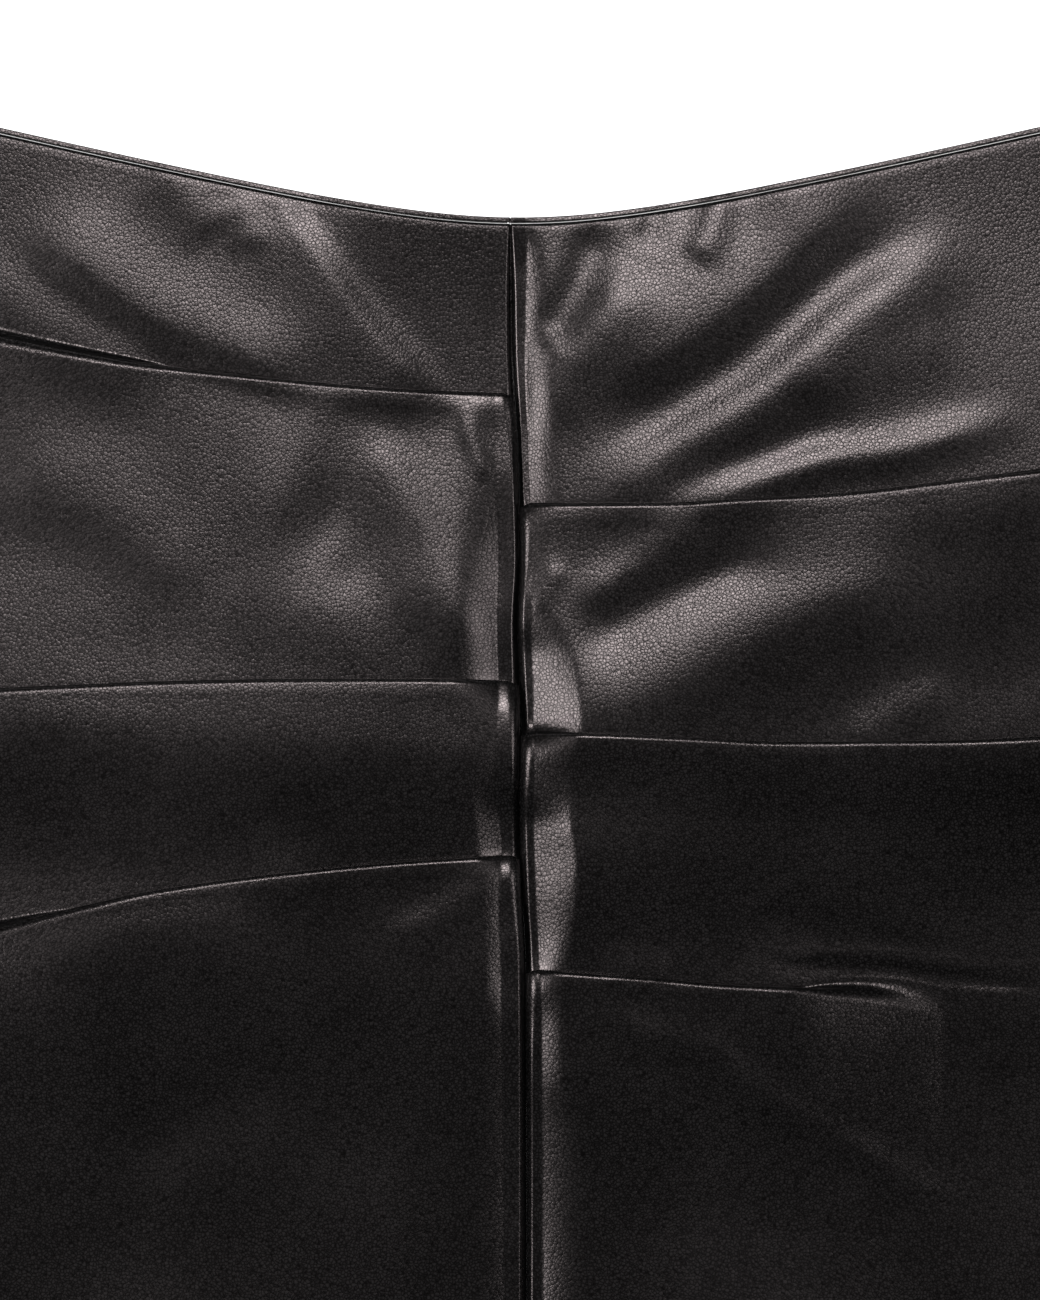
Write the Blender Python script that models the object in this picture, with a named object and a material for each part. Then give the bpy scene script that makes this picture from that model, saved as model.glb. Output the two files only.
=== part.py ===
"""A leather midi skirt, laid flat with its front up.

X runs across the skirt, Y up the skirt to the waist and Z up from the surface. The origin is on the
surface, under the middle of the skirt's box. Left and right are as seen from above.

The tables and the lengths below are in millimetres, and the meshes are in metres. "down" is measured down
the skirt from the lowest point of the waist edge, and "out" sideways from the centre seam. Each piece is
worked out pressed flat first, with its plies and gaps, and its relief then lifts every ply alike.
"""

import math
from collections import namedtuple

import bpy
import numpy as np

MM = 0.001

# The leather, its seams and its folds.
LEATHER = 1.2  # thickness of every wall
GAP = 0.3  # between pieces at a seam, and between the plies of a fold
CORNER = 1.0  # rounding of the outer face where a panel turns into a seam
PRESSED = math.pi * (LEATHER + GAP) / 2  # length of leather in a bend that is folded flat
PLY = LEATHER + GAP  # from one ply of a fold to the next
WAIST_ROLL = 1.25  # width of the rolled strip along the waist edge
HEM_TURN = 30.0  # depth of the hem that is turned inside
HEM_BEND_REACH = PLY / 2 + LEATHER / 2  # from the start of the hem's bend to the hem

# The outline.
WAIST_BOW = 9.4  # the waist edge is a hyperbola: this times the root of 1 + (across / WAIST_BEND) squared
WAIST_BEND = 40.0
LENGTH = 735.0  # centre front, waist edge to hem
HEM_BOW = 6.0  # the hem's rise from the centre to a side seam
SIDE_SEAM = {
    "down": (-34, 0, 35, 90, 150, 210, 320, 520, 735),
    "half_width": (178, 189, 202, 219, 231, 236, 238, 239, 241),
}
FRONT_SEAM = {
    "down": (0, 33, 58, 86, 101, 126, 146, 171, 186, 240, 420, 735),
    "across": (-1.9, -1.6, -0.3, 0.5, -0.1, 0.6, 0.3, 1.0, 1.7, 1.9, 1.4, 0),
}

# Three tucks a side open towards the waist and die away towards the side seam. edge: the fold edge;
# under: the ply hidden beneath it; turn: the angle of its two bends; bend: the leather in each bend.
TuckRow = namedtuple("TuckRow", "out edge under turn bend")
TUCKS = {
    "left": (
        (
            (0, 44.0, 13, 180, PRESSED),
            (27, 43.0, 12, 180, PRESSED),
            (57, 40.6, 7, 180, PRESSED),
            (75, 38.7, 2, 130, 2.5),
            (93, 36.2, 1, 88, 2.5),
            (110, 33.2, 1, 75, 2.7),
            (140, 27.5, 1, 50, 3.0),
            (180, 21.0, 1, 0, 3.0),
        ),
        (
            (0, 115.9, 13, 180, PRESSED),
            (28, 115.3, 12, 180, PRESSED),
            (60, 115.4, 9, 180, PRESSED),
            (90, 116.0, 6, 180, PRESSED),
            (110, 116.8, 3, 165, PRESSED),
            (150, 118.6, 1, 80, 2.6),
            (200, 121.5, 1, 0, 3.0),
        ),
        (
            (0, 159.2, 11, 180, PRESSED),
            (30, 161.0, 10, 180, PRESSED),
            (60, 163.8, 7, 180, PRESSED),
            (90, 167.8, 3, 165, PRESSED),
            (110, 172.0, 1.5, 115, 2.5),
            (140, 179.0, 1, 60, 2.8),
            (185, 188.0, 1, 0, 3.0),
        ),
    ),
    "right": (
        (
            (0, 71.5, 13, 180, PRESSED),
            (31, 71.5, 13, 180, PRESSED),
            (60, 70.2, 11, 180, PRESSED),
            (80, 69.0, 8, 180, PRESSED),
            (105, 66.2, 4, 170, PRESSED),
            (145, 61.0, 1, 80, 2.6),
            (195, 54.0, 1, 0, 3.0),
        ),
        (
            (0, 128.4, 13, 180, PRESSED),
            (20, 129.0, 12, 180, PRESSED),
            (45, 130.1, 11, 180, PRESSED),
            (65, 131.0, 9, 180, PRESSED),
            (105, 130.7, 4, 172, PRESSED),
            (150, 128.2, 1, 80, 2.6),
            (200, 124.0, 1, 0, 3.0),
        ),
        (
            (0, 187.7, 11, 180, PRESSED),
            (31, 190.0, 8, 180, PRESSED),
            (53, 191.8, 3, 165, PRESSED),
            (67, 192.3, 1.5, 120, 2.5),
            (80, 193.0, 1, 65, 2.6),
            (91, 194.4, 1, 30, 2.8),
            (105, 197.5, 1, 0, 3.0),
        ),
    ),
}
FALL = 24.0  # the run over which a lower panel comes down off its tuck

# The relief of the front, above pressed flat.
LIFT = {
    "down": (-34, 0, 40, 120, 220, 330, 500, 640, 700),
    "height": (2.0, 2.8, 3.5, 3.6, 3.4, 2.6, 2.2, 1.6, 0),
}
SIDE_FALL = 45.0  # the run over which the front comes down to the back at a side seam
SEAM_FLAT = 3.4  # the pressed strip beside the centre seam
SEAM_SLOPE = 11.0  # the slope from that strip up to the panel
SEAM_DEPTH = {  # how deep the centre seam lies below the panel beside it
    "left": {
        "down": (0, 40, 60, 80, 112, 125, 146, 157, 170, 190, 215, 300, 600, 690),
        "depth": (0.8, 1.6, 1.2, 2.8, 3.2, 1.4, 2.8, 2.8, 1.4, 2.6, 2.0, 1.5, 1.0, 0),
    },
    "right": {
        "down": (0, 20, 68, 80, 108, 126, 135, 148, 185, 196, 240, 330, 600, 690),
        "depth": (0.6, 2.2, 2.8, 1.4, 2.8, 2.8, 1.8, 3.3, 3.3, 2.4, 2.2, 1.6, 1.0, 0),
    },
}
HEM_LIFT = 2 * PLY  # the front's height over its own turned hem and the back's
HEM_RAMP = 45.0
HEM_RAMP_END = LENGTH - HEM_BOW - HEM_TURN - LEATHER

# Each panel between two tucks swells towards its lower edge by this much, from the waist down.
SWELL = {"left": (0.8, 1.8, 1.2, 0), "right": (1.2, 1.8, 1.2, 0)}
SWELL_END = 14.0  # the run over which a swell and a crease end beyond a fold edge
CREASE_START = 8.0  # the run over which a crease starts below a fold edge
CREASE_TAPER = 0.3  # share of a crease's length over which each end dies away

# The largest creases, as soft ridges along a line. panel: 0 is the one at the waist; reach: half the width.
Crease = namedtuple("Crease", "panel out0 down0 out1 down1 reach height")
CREASES = {
    "left": (
        (0, 50, 6, 16, 43, 6, 1.7),
        (0, 84, -4, 40, 30, 11, 1.2),
        (0, 125, -8, 96, 30, 12, 1.5),
        (1, 112, 44, 62, 62, 9, 1.6),
        (1, 14, 50, 46, 100, 9, 0.7),
        (2, 10, 152, 62, 132, 9, 1.0),
        (3, 4, 168, 52, 184, 6, 1.2),
        (3, 66, 196, 118, 400, 24, 1.8),
        (3, 150, 215, 178, 520, 28, 1.6),
        (3, 28, 330, 62, 620, 24, 1.3),
        (3, 112, 440, 138, 860, 30, 2.2),
        (3, 196, 500, 204, 840, 22, 1.5),
    ),
    "right": (
        (0, 6, 68, 62, 30, 8, 1.8),
        (0, 56, 34, 112, 4, 8, 2.2),
        (0, 36, 68, 118, 52, 6, 1.6),
        (0, 8, 44, 32, 8, 7, 1.0),
        (1, 16, 116, 74, 84, 9, 1.5),
        (1, 74, 84, 128, 62, 9, 1.5),
        (2, 60, 184, 104, 178, 6, 1.4),
        (3, 52, 212, 96, 420, 24, 1.8),
        (3, 136, 205, 150, 500, 28, 1.7),
        (3, 30, 400, 44, 700, 22, 1.3),
        (3, 92, 420, 100, 850, 30, 2.0),
        (3, 176, 430, 186, 870, 26, 1.8),
    ),
}

# How finely a panel is drawn. A column lies at fixed, plus a share of the way from FIXED_REACH to the side
# seam, less an inset.
FIXED_REACH = 110.0
Column = namedtuple("Column", "fixed share inset")
COLUMNS = (
    (0, 0, 0),
    (0.3, 0, 0),
    (1, 0, 0),
    (3.4, 0, 0),
    (8, 0, 0),
    (14, 0, 0),
    (22, 0, 0),
    (31, 0, 0),
    (41, 0, 0),
    (52, 0, 0),
    (63, 0, 0),
    (75, 0, 0),
    (87, 0, 0),
    (98, 0, 0),
    (110, 0, 0),
    (110, 0.33, 0),
    (110, 0.66, 0),
    (110, 1, 14),
    (110, 1, 1),
    (110, 1, 0.3),
    (110, 1, 0),
)
EDGE_ROWS = (0, 0.3)  # rows on the rounded upper edge, before the panel proper
PANEL_ROWS = (0.0, 0.2, 0.4, 0.6, 0.8, 1.0)  # shares of the free run between two tucks
SKIRT_ROWS = (0.0, 0.05, 0.12, 0.22, 0.36, 0.52, 0.7, 0.85, 1.0)
BACK_ROWS = (0.0, 0.12, 0.25, 0.4, 0.6, 0.8, 1.0)
PLY_ROWS = (0.5,)
HEM_ROWS = (0.5, 1)
BEND_STEPS = 4
ROLL_ROWS = (0, 0.2, 0.625, 1.05, 1.25)

LEATHER_COLOUR = (0.012, 0.011, 0.011, 1)
LEATHER_ROUGHNESS = 0.42


def tangents(x, y):
    """Slopes of a smooth curve through a table's rows that never overshoots them."""
    secants = np.diff(y) / np.diff(x)
    slopes = np.zeros_like(y)
    slopes[[0, -1]] = secants[[0, -1]]
    before, after = secants[:-1], secants[1:]
    total = np.where(before * after > 0, before + after, 1)
    slopes[1:-1] = np.where(before * after > 0, 2 * before * after / total, 0)
    return slopes


def curve(at, x, y):
    """The smooth curve through a table's rows, level past its ends."""
    x = np.asarray(x, float)
    y = np.asarray(y, float)
    slopes = tangents(x, y)
    at = np.clip(at, x[0], x[-1])
    i = np.clip(np.searchsorted(x, at, side="right") - 1, 0, len(x) - 2)
    step = x[i + 1] - x[i]
    t = (at - x[i]) / step
    rise = y[i + 1] - y[i]
    start = slopes[i] * step
    end = slopes[i + 1] * step
    return y[i] + t * (start + t * (3 * rise - 2 * start - end + t * (start + end - 2 * rise)))


def table_curve(at, table):
    """The smooth curve of a table of two named columns."""
    return curve(at, *table.values())


def ease(share):
    """0 to 1, level at both ends."""
    t = np.clip(share, 0, 1)
    return t * t * (3 - 2 * t)


def sign(side):
    """-1 on the left and 1 on the right."""
    return -1 if side == "left" else 1


def front_seam(down):
    """Where the centre-front seam lies across the skirt."""
    return table_curve(down, FRONT_SEAM)


def back_seam(down):
    """Where the centre-back seam lies across the skirt."""
    return 0 * down


def panel_width(side, down, seam):
    """From a centre seam to the side seam."""
    return table_curve(down, SIDE_SEAM) - sign(side) * seam(down) - GAP / 2


def place_out(side, down, seam):
    """Each column's distance out from the centre seam, where it is this far down."""
    columns = Column(*np.array(COLUMNS).T)
    reach = panel_width(side, down, seam) - FIXED_REACH
    return columns.fixed + columns.share * reach - columns.inset


def across(side, out, down, seam):
    """X of a point of a panel."""
    return seam(down) + sign(side) * (GAP / 2 + out)


def waist_down(side, seam):
    """The waist edge's distance down, in each column."""
    down = np.zeros(len(COLUMNS))
    for _ in range(4):
        x = across(side, place_out(side, down, seam), down, seam)
        down = -WAIST_BOW * (np.sqrt(1 + (x / WAIST_BEND) ** 2) - 1)
    return down


def hem_down(side, seam):
    """The hem's distance down, in each column."""
    out = place_out(side, LENGTH, seam)
    return LENGTH - HEM_BOW * (out / out[-1]) ** 2


def tuck_at(rows, out):
    """One tuck's table, read at distances out from the seam."""
    columns = TuckRow(*np.array(rows, float).T)
    return TuckRow(out, *(curve(out, columns.out, column) for column in columns[1:]))


def fold_edge(side, panel, out):
    """How far down the lower edge of a panel is, which is the next tuck's fold edge."""
    return tuck_at(TUCKS[side][panel], out).edge


def within(side, panel, out, down):
    """1 on a panel between its two tucks, falling to 0 beyond them."""
    share = np.ones_like(down)
    if panel > 0:
        share = share * ease((down - fold_edge(side, panel - 1, out)) / CREASE_START)
    if panel < len(TUCKS[side]):
        share = share * (1 - ease((down - fold_edge(side, panel, out)) / SWELL_END))
    return share


def swell(side, panel, out, down):
    """A panel's rise towards its lower edge."""
    top = fold_edge(side, panel - 1, out) if panel else 0 * out
    share = np.clip((down - top) / (fold_edge(side, panel, out) - top), 0, 1)
    return SWELL[side][panel] * share**2 * within(side, panel, out, down)


def crease(side, row, out, down):
    """One soft ridge, which dies away at both ends."""
    ridge = Crease(*row)
    run_out = ridge.out1 - ridge.out0
    run_down = ridge.down1 - ridge.down0
    length = math.hypot(run_out, run_down)
    along = ((out - ridge.out0) * run_out + (down - ridge.down0) * run_down) / length**2
    aside = ((out - ridge.out0) * run_down - (down - ridge.down0) * run_out) / length
    ends = ease(along / CREASE_TAPER) * ease((1 - along) / CREASE_TAPER)
    height = ridge.height * ends * np.exp(-((aside / ridge.reach) ** 2))
    return height * within(side, ridge.panel, out, down)


def relief(side, out, down):
    """How far the front is lifted above pressed flat."""
    height = table_curve(down, LIFT)
    for panel in range(len(TUCKS[side])):
        height = height + swell(side, panel, out, down)
    for row in CREASES[side]:
        height = height + crease(side, row, out, down)
    beside = 1 - ease((out - SEAM_FLAT) / SEAM_SLOPE)
    height = height - beside * table_curve(down, SEAM_DEPTH[side])
    inside = ease((panel_width(side, down, front_seam) - out) / SIDE_FALL)
    hem = ease((down - HEM_RAMP_END + HEM_RAMP) / HEM_RAMP)
    return hem * HEM_LIFT + inside * np.maximum(height, 0)


def rounded(distance, radius):
    """How far the outer face drops at a distance from an edge."""
    inside = np.clip(radius - distance, 0, radius)
    return radius - np.sqrt(radius**2 - inside**2)


class Strip:
    """Rows of a pressed panel: down, height and lean of the leather's middle, for every column."""

    def __init__(self):
        self.down = []
        self.height = []
        self.lean = []

    def add(self, down, height, lean):
        self.down.append(down)
        self.height.append(height)
        self.lean.append(lean)

    def run(self, length, steps):
        """Goes straight on."""
        down, height, lean = self.down[-1], self.height[-1], self.lean[-1]
        for share in steps:
            along = share * length
            self.add(down + along * np.cos(lean), height + along * np.sin(lean), lean)

    def bend(self, turn, length):
        """Bends up by an angle, or down where it is negative."""
        step = turn / BEND_STEPS
        chord = length / BEND_STEPS * np.sinc(step / 2 / math.pi)
        for _ in range(BEND_STEPS):
            lean = self.lean[-1] + step / 2
            down = self.down[-1] + chord * np.cos(lean)
            self.add(down, self.height[-1] + chord * np.sin(lean), lean + step / 2)


def tuck_start(edge, under, turn, bend):
    """How far down the leather first bends, so that the fold's edge lands on its line."""
    sine = np.sinc(turn / math.pi)
    edge_bend = np.where(turn > math.pi / 2, bend / np.maximum(turn, 1), bend * sine)
    face = LEATHER / 2 * np.sin(np.minimum(turn, math.pi / 2))
    return edge + edge_bend + face - 2 * bend * sine - under * np.cos(turn)


def add_section(strip, start, end, on, under, step, shares):
    """Adds a panel from start to end: lying on a tuck, coming down off it, and going under the next."""
    free = start + on
    room = end - under - free
    fall = np.minimum(FALL, room)

    def add(down):
        share = (down - free) / fall
        t = np.clip(share, 0, 1)
        slope = -step * 6 * t * (1 - t) / fall
        strip.add(down, step * (1 - ease(share)), np.arctan(slope))

    if np.any(on):
        for share in PLY_ROWS:
            add(start + share * on)
    for share in shares:
        add(free + share * room)
    if np.any(under):
        for share in PLY_ROWS:
            add(end - (1 - share) * under)
        add(end)


def turn_hem(strip):
    """Adds the end of a panel and its hem, which is folded back inside."""
    strip.run(HEM_TURN, HEM_ROWS)
    strip.bend(np.full_like(strip.down[-1], -math.pi), PRESSED)
    strip.run(HEM_TURN, HEM_ROWS)


def pressed_front(side):
    """A front panel pressed flat, with its tucks and its turned hem."""
    strip = Strip()
    start = waist_down(side, front_seam) + WAIST_ROLL + GAP
    for inset in EDGE_ROWS:
        strip.add(start + inset, 0 * start, 0 * start)
    start = start + CORNER
    on = step = 0 * start
    for rows in TUCKS[side]:
        tuck = tuck_at(rows, place_out(side, tuck_at(rows, FIXED_REACH).edge, front_seam))
        turn = np.radians(tuck.turn)
        end = tuck_start(tuck.edge, tuck.under, turn, tuck.bend)
        add_section(strip, start, end, on, tuck.under, step, PANEL_ROWS)
        strip.bend(turn, tuck.bend)
        strip.run(tuck.under, (*PLY_ROWS, 1))
        strip.bend(-turn, tuck.bend)
        start, step, on = strip.down[-1], strip.height[-1], tuck.under + LEATHER
    turned = hem_down(side, front_seam) - HEM_BEND_REACH - HEM_TURN
    add_section(strip, start, turned, on, 0 * turned, step, SKIRT_ROWS)
    turn_hem(strip)
    return strip


def pressed_back(side):
    """A back panel pressed flat, with its turned hem. Its outer face looks the way the front's does."""
    strip = Strip()
    start = waist_down(side, back_seam) + WAIST_ROLL + GAP
    for inset in EDGE_ROWS:
        strip.add(start + inset, 0 * start, 0 * start)
    turned = hem_down(side, back_seam) - HEM_BEND_REACH - HEM_TURN
    none = 0 * turned
    add_section(strip, start + CORNER, turned, none, none, none, BACK_ROWS)
    turn_hem(strip)
    return strip


def pressed_roll(side, seam):
    """The rolled strip along the waist edge of one panel."""
    strip = Strip()
    start = waist_down(side, seam)
    for inset in ROLL_ROWS:
        strip.add(start + inset, 0 * start, 0 * start)
    return strip


def faces(strip, side, seam, edge_drop):
    """The outer and inner faces of a pressed strip, as grids of out, down and height."""
    down, height, lean = (np.array(rows) for rows in (strip.down, strip.height, strip.lean))
    out = place_out(side, down, seam)
    width = panel_width(side, down, seam)
    nearest = np.minimum(out, np.maximum(width - out, 0))
    drop = np.maximum(rounded(nearest, CORNER), edge_drop[:, None])
    grids = []
    for offset in (LEATHER / 2 - drop, np.full_like(down, -LEATHER / 2)):
        face_down = down - offset * np.sin(lean)
        face_height = height + offset * np.cos(lean)
        grids.append((place_out(side, face_down, seam), face_down, face_height))
    return grids


def mesh_points(grid, side, front):
    """A face's points in metres."""
    out, down, height = grid
    seam = front_seam if front else back_seam
    if front:
        z = LEATHER + GAP + LEATHER / 2 + height + relief(side, out, down)
    else:
        z = LEATHER / 2 - height
    top = -WAIST_BOW * (math.hypot(1, SIDE_SEAM["half_width"][0] / WAIST_BEND) - 1)
    y = (LENGTH + top) / 2 - down
    return np.stack([across(side, out, down, seam), y, z], axis=-1) * MM


def wall(name, outer, inner, upright, material):
    """A closed wall between two grids of points. upright: its faces turn the right way round as they come."""
    rows, columns = outer.shape[:2]
    index = np.arange(rows * columns).reshape(rows, columns)
    below = index + rows * columns
    quads = []
    for r in range(rows - 1):
        for c in range(columns - 1):
            quads.append((index[r, c], index[r + 1, c], index[r + 1, c + 1], index[r, c + 1]))
            quads.append((below[r, c], below[r, c + 1], below[r + 1, c + 1], below[r + 1, c]))
    border = [*index[0, ::-1], *index[1:, 0], *index[-1, 1:], *index[-2:0:-1, -1]]
    under = [*below[0, ::-1], *below[1:, 0], *below[-1, 1:], *below[-2:0:-1, -1]]
    for i in range(len(border)):
        j = (i + 1) % len(border)
        quads.append((border[j], border[i], under[i], under[j]))
    if not upright:
        quads = [quad[::-1] for quad in quads]
    mesh = bpy.data.meshes.new(name)
    points = np.concatenate([outer.reshape(-1, 3), inner.reshape(-1, 3)])
    mesh.from_pydata(points.tolist(), [], [tuple(int(i) for i in quad) for quad in quads])
    mesh.materials.append(material)
    mesh.shade_smooth()
    mesh.set_sharp_from_angle(angle=math.radians(50))
    piece = bpy.data.objects.new(name, mesh)
    bpy.context.collection.objects.link(piece)
    return piece


def leather(name):
    """One piece's leather."""
    material = bpy.data.materials.new(name)
    material.use_nodes = True
    shader = material.node_tree.nodes["Principled BSDF"]
    shader.inputs["Base Color"].default_value = LEATHER_COLOUR
    shader.inputs["Roughness"].default_value = LEATHER_ROUGHNESS
    shader.inputs["Metallic"].default_value = 0
    return material


def make_piece(name, strip, side, front, edge_drop):
    """One piece of the skirt from its pressed strip."""
    seam = front_seam if front else back_seam
    outer, inner = (mesh_points(grid, side, front) for grid in faces(strip, side, seam, edge_drop))
    upright = (side == "right") == front
    return wall(name, outer, inner, upright, leather(name))


def edge_drop(strip):
    """The rounding of a panel's upper edge, row by row."""
    insets = np.array([*EDGE_ROWS, CORNER])
    drop = np.zeros(len(strip.down))
    drop[: len(insets)] = rounded(insets, CORNER)
    return drop


def roll_drop():
    """The rounding of the rolled strip, row by row."""
    insets = np.array(ROLL_ROWS)
    return rounded(np.minimum(insets, WAIST_ROLL - insets), WAIST_ROLL / 2)


def clear_scene():
    for item in list(bpy.data.objects):
        bpy.data.objects.remove(item, do_unlink=True)


def main():
    clear_scene()
    for side in ("left", "right"):
        front = pressed_front(side)
        back = pressed_back(side)
        make_piece(f"front_{side}", front, side, True, edge_drop(front))
        make_piece(f"back_{side}", back, side, False, edge_drop(back))
        make_piece(f"waist_roll_front_{side}", pressed_roll(side, front_seam), side, True, roll_drop())
        make_piece(f"waist_roll_back_{side}", pressed_roll(side, back_seam), side, False, roll_drop())


main()
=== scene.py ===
"""The looks of the leather midi skirt, which lies flat with its front up.

Every piece is a fine shell on its solid's form. The tables and lengths are in millimetres, as the cutter
works, and the meshes are in metres. "down" is measured down the skirt from the lowest point of the waist
edge, and "out" sideways from the centre seam. Left and right are as seen from above.
"""

import math
from collections import namedtuple

import bpy
import numpy as np
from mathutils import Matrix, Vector

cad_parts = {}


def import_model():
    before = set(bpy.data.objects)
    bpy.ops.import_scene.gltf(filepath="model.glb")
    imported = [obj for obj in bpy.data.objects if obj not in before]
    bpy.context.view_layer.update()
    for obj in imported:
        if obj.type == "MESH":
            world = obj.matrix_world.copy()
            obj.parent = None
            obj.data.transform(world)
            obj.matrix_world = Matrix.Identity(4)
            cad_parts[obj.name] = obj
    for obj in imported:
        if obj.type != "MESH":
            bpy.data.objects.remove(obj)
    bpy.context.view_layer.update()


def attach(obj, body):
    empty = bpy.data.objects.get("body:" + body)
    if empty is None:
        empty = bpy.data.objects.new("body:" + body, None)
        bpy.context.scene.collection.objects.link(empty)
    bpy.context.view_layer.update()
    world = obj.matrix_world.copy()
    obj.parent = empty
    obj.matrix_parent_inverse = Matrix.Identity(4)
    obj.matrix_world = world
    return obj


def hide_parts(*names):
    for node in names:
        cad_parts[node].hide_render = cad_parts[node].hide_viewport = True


MM = 0.001

# The leather, its seams and its folds, as in the solids.
LEATHER = 1.2  # thickness of every wall
GAP = 0.3  # between pieces at a seam, and between the plies of a fold
CORNER = 1.0  # rounding of the outer face where a panel turns into a seam
PRESSED = math.pi * (LEATHER + GAP) / 2  # length of leather in a bend that is folded flat
PLY = LEATHER + GAP  # from one ply of a fold to the next
FRONT_MIDDLE = PLY + LEATHER / 2  # height of the middle of a front that is pressed flat on the back
WAIST_ROLL = 1.25  # width of the rolled strip along the waist edge
ROLL_CORNER = 0.2  # rounding of its two edges
ROLL_TILT = 0.08  # slope of its outer face to the waist edge
HEM_TURN = 30.0  # depth of the hem that is turned inside
HEM_BEND_REACH = PLY / 2 + LEATHER / 2  # from the start of the hem's bend to the hem

# The outline.
WAIST_BOW = 9.4  # the waist edge is a hyperbola: this times the root of 1 + (across / WAIST_BEND) squared
WAIST_BEND = 40.0
LENGTH = 735.0  # centre front, waist edge to hem
HEM_BOW = 6.0  # the hem's rise from the centre to a side seam
SIDE_SEAM = {
    "down": (-34, 0, 35, 90, 150, 210, 320, 520, 735),
    "half_width": (178, 189, 202, 219, 231, 236, 238, 239, 241),
}
FRONT_SEAM = {
    "down": (0, 33, 58, 86, 101, 126, 146, 171, 186, 240, 420, 735),
    "across": (-1.9, -1.6, -0.3, 0.5, -0.1, 0.6, 0.3, 1.0, 1.7, 1.9, 1.4, 0),
}
BACK_SEAM = -2.5  # off the middle, so that no floor shows through both centre seams

# Three tucks a side open towards the waist and die away towards the side seam. out: from the centre seam;
# edge: how far down the fold edge is; under: the ply hidden beneath it; turn: the angle of its two bends, in
# degrees; bend: the leather in each bend.
TuckRow = namedtuple("TuckRow", "out edge under turn bend")
TUCKS = {
    "left": (
        (
            (0, 44.0, 13, 180, PRESSED),
            (27, 43.0, 12, 180, PRESSED),
            (57, 40.6, 7, 180, PRESSED),
            (66, 39.7, 3.2, 172, PRESSED),
            (75, 38.7, 1.6, 150, 2.2),
            (84, 37.5, 1.1, 115, 2.2),
            (93, 36.2, 1, 88, 2.4),
            (110, 33.2, 1, 75, 2.7),
            (140, 27.5, 1, 50, 3.0),
            (180, 21.0, 1, 0, 3.0),
        ),
        (
            (0, 115.9, 13, 180, PRESSED),
            (28, 115.3, 12, 180, PRESSED),
            (60, 115.4, 9, 180, PRESSED),
            (90, 116.0, 6, 180, PRESSED),
            (110, 116.8, 3, 165, PRESSED),
            (150, 118.6, 1, 80, 2.6),
            (200, 121.5, 1, 0, 3.0),
        ),
        (
            (0, 159.2, 11, 180, PRESSED),
            (30, 161.0, 10, 180, PRESSED),
            (60, 163.8, 7, 180, PRESSED),
            (90, 167.8, 3, 165, PRESSED),
            (110, 172.0, 1.5, 115, 2.5),
            (140, 179.0, 1, 60, 2.8),
            (185, 188.0, 1, 0, 3.0),
        ),
    ),
    "right": (
        (
            (0, 71.5, 13, 180, PRESSED),
            (31, 71.5, 13, 180, PRESSED),
            (60, 70.2, 11, 180, PRESSED),
            (80, 69.0, 8, 180, PRESSED),
            (105, 66.2, 4, 170, PRESSED),
            (145, 61.0, 1, 80, 2.6),
            (195, 54.0, 1, 0, 3.0),
        ),
        (
            (0, 128.4, 13, 180, PRESSED),
            (20, 129.0, 12, 180, PRESSED),
            (45, 130.1, 11, 180, PRESSED),
            (65, 131.0, 9, 180, PRESSED),
            (105, 130.7, 4, 172, PRESSED),
            (150, 128.2, 1, 80, 2.6),
            (200, 124.0, 1, 0, 3.0),
        ),
        (
            (0, 187.7, 11, 180, PRESSED),
            (31, 190.0, 8, 180, PRESSED),
            (53, 191.8, 3, 165, PRESSED),
            (67, 192.3, 1.5, 120, 2.5),
            (80, 193.0, 1, 65, 2.6),
            (91, 194.4, 1, 30, 2.8),
            (105, 197.5, 1, 0, 3.0),
        ),
    ),
}
# The run over which the panel below each tuck comes down off it.
FALL = {"left": (70, 43, 100), "right": (50, 40, 60)}

# How high each front lies above pressed flat, before its swells and folds.
LIFT = {
    "left": {
        "down": (-34, 0, 40, 76, 100, 116, 160, 220, 260, 330, 500, 640, 700),
        "height": (2.4, 3.0, 3.3, 6.0, 8.6, 9.5, 11.6, 12.4, 12.0, 9.4, 5.0, 2.2, 0),
    },
    "right": {
        "down": (-34, 0, 40, 71, 120, 155, 190, 240, 330, 500, 640, 700),
        "height": (2.4, 3.0, 4.6, 5.8, 7.4, 6.4, 4.5, 1.9, 1.5, 2.2, 1.8, 0),
    },
}
SEAM_EDGE = 3.0  # where the two fronts are brought to one height beside the centre seam
SEAM_BLEND = 90.0  # the run over which each comes back to its own
SEAM_ROWS = np.arange(-20.0, LENGTH + 20, 0.5)  # where, down the seam, that height is worked out
SEAM_WINDOW = 81  # of these rows, over which it is evened out
SIDE_FALL = 45.0  # the run over which the front comes down to the back at a side seam
HEM_LIFT = 2 * PLY  # the front's height over its own turned hem and the back's
HEM_RAMP = 45.0  # the run over which it comes up onto them
HEM_RAMP_END = LENGTH - HEM_BOW - HEM_TURN - LEATHER

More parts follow.
